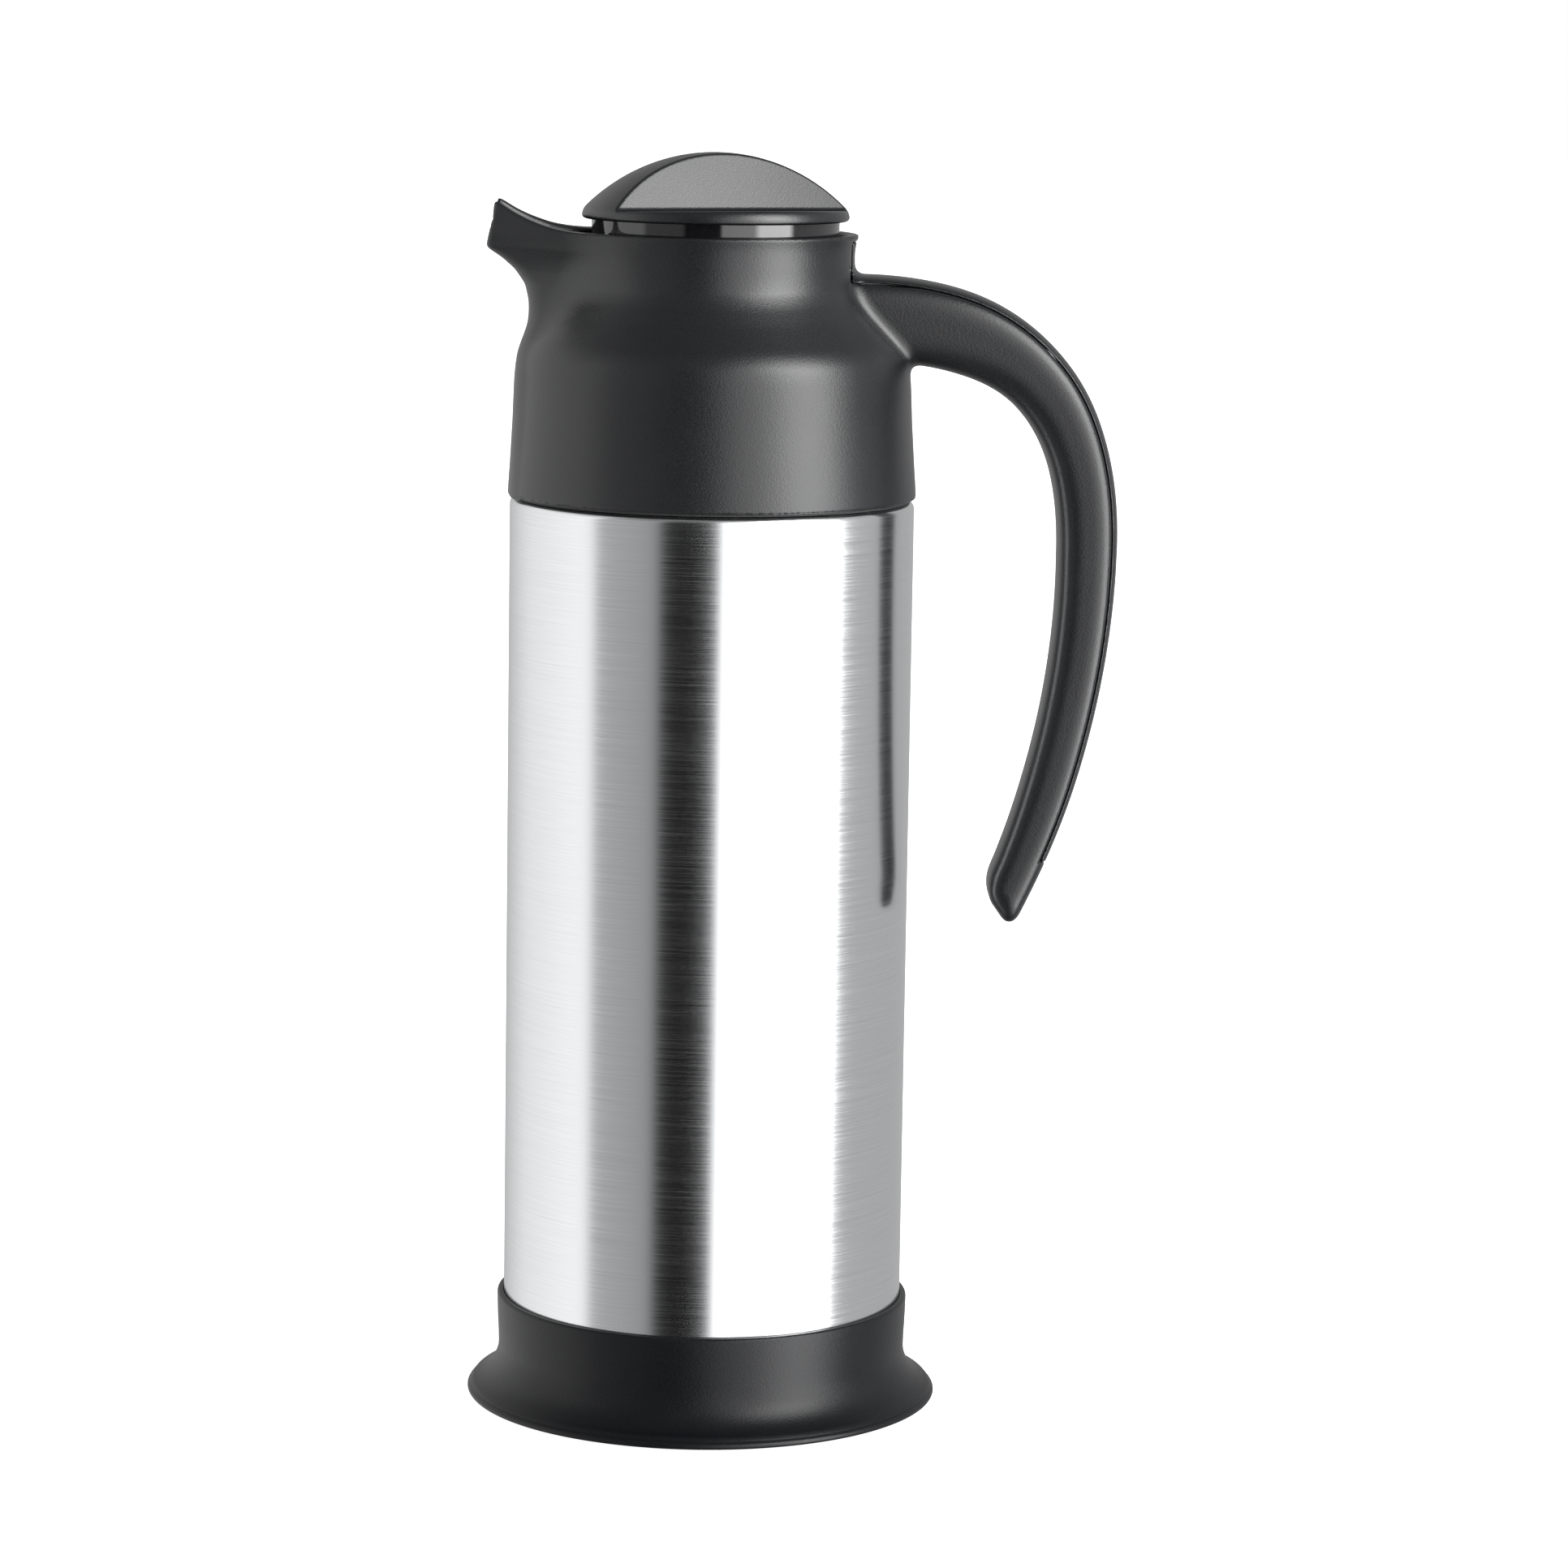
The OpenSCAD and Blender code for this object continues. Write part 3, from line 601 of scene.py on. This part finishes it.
def studio_world():
    """Panels all round, fading to a dim ceiling and ground, with plain white where the camera looks."""
    world = bpy.data.worlds.new("studio")
    bpy.context.scene.world = world
    world.use_nodes = True
    nodes, link = world.node_tree.nodes, world.node_tree.links.new

    def math_node(operation, *values):
        node = nodes.new("ShaderNodeMath")
        node.operation = operation
        for socket, value in zip(node.inputs, values):
            if isinstance(value, (int, float)):
                socket.default_value = value
            else:
                link(value, socket)
        return node.outputs[0]

    def unit_range(value, low, high):
        node = nodes.new("ShaderNodeMapRange")
        node.inputs["From Min"].default_value = low
        node.inputs["From Max"].default_value = high
        link(value, node.inputs["Value"])
        return node.outputs["Result"]

    def white(strength):
        node = nodes.new("ShaderNodeBackground")
        node.inputs["Color"].default_value = (1, 1, 1, 1)
        node.inputs["Strength"].default_value = strength
        return node.outputs[0]

    def mix(factor, first, second):
        node = nodes.new("ShaderNodeMixShader")
        link(factor, node.inputs["Fac"])
        link(first, node.inputs[1])
        link(second, node.inputs[2])
        return node.outputs[0]

    split = nodes.new("ShaderNodeSeparateXYZ")
    link(nodes.new("ShaderNodeTexCoord").outputs["Generated"], split.inputs[0])
    azimuth = math_node("ARCTAN2", split.outputs["X"], math_node("MULTIPLY", split.outputs["Y"], -1))
    ramp = nodes.new("ShaderNodeValToRGB")
    stops = ramp.color_ramp.elements
    while len(stops) < len(PANELS):
        stops.new(0.5)
    for stop, (angle, value) in zip(stops, PANELS):
        stop.position = (angle + 180) / 360
    for stop, (angle, value) in zip(stops, PANELS):
        stop.color = (*[value / PANEL_STRENGTH] * 3, 1)
    link(unit_range(azimuth, -math.pi, math.pi), ramp.inputs["Fac"])
    panels = nodes["Background"]
    panels.inputs["Strength"].default_value = PANEL_STRENGTH
    link(ramp.outputs["Color"], panels.inputs["Color"])
    away = unit_range(math_node("ABSOLUTE", split.outputs["Z"]), 0.42, 0.85)
    lit = mix(away, panels.outputs[0], white(0.22))
    seen = nodes.new("ShaderNodeLightPath").outputs["Is Camera Ray"]
    link(mix(seen, lit, white(1.0)), nodes["World Output"].inputs["Surface"])


def pale_floor(half=9):
    mesh = bpy.data.meshes.new("floor")
    corners = [(-half, -half, 0), (half, -half, 0), (half, half, 0), (-half, half, 0)]
    mesh.from_pydata(corners, [], [(0, 1, 2, 3)])
    floor = bpy.data.objects.new("floor", mesh)
    bpy.context.scene.collection.objects.link(floor)
    floor.visible_glossy = False
    m = Mat("floor")
    m.colour(m.noise(3.0), (0.80, 0.80, 0.80), (0.82, 0.82, 0.82))
    m.set(Roughness=0.9, Specular_IOR_Level=0.1, Emission_Color=(1, 1, 1, 1), Emission_Strength=0.95)
    floor.data.materials.append(m.mat)


def area(name, azimuth_deg, elevation_deg, distance, size, power):
    """A round soft light that faces a point on the flask's axis, 0.18 m up."""
    light = bpy.data.lights.new(name, "AREA")
    light.shape, light.size, light.energy = "DISK", size, power
    obj = bpy.data.objects.new(name, light)
    az, el = math.radians(azimuth_deg), math.radians(elevation_deg)
    out = np.array([math.sin(az) * math.cos(el), -math.cos(az) * math.cos(el), math.sin(el)])
    side = np.cross([0, 0, 1], out)
    side /= np.linalg.norm(side)
    up = np.cross(out, side)
    at = out * distance + np.array([0, 0, 0.18])
    obj.matrix_world = Matrix([[side[i], up[i], out[i], at[i]] for i in range(3)] + [[0, 0, 0, 1]])
    bpy.context.scene.collection.objects.link(obj)


def make_camera(place, yaw, pitch, roll, lens):
    """A camera at place, looking along +Y and then turned right, down and about its own axis."""
    data = bpy.data.cameras.new("camera")
    data.lens = lens
    data.sensor_width = 36
    camera = bpy.data.objects.new("camera", data)
    bpy.context.scene.collection.objects.link(camera)
    bpy.context.scene.camera = camera
    fwd = np.array([math.sin(yaw) * math.cos(pitch), math.cos(yaw) * math.cos(pitch), -math.sin(pitch)])
    level = np.array([math.cos(yaw), -math.sin(yaw), 0])
    upright = np.cross(level, fwd)
    right = math.cos(roll) * level + math.sin(roll) * upright
    up = -math.sin(roll) * level + math.cos(roll) * upright
    camera.matrix_world = Matrix([[right[i], up[i], -fwd[i], place[i]] for i in range(3)] + [[0, 0, 0, 1]])


studio_world()
pale_floor()
area("front_soft", azimuth_deg=54, elevation_deg=35, distance=1.6, size=1.1, power=15)
make_camera(place=(0, -1.16453, 0.31762), yaw=0.01458, pitch=0.151, roll=0.01538, lens=120.5)

scene = bpy.context.scene
scene.view_settings.view_transform = "Standard"
scene.view_settings.look = "None"
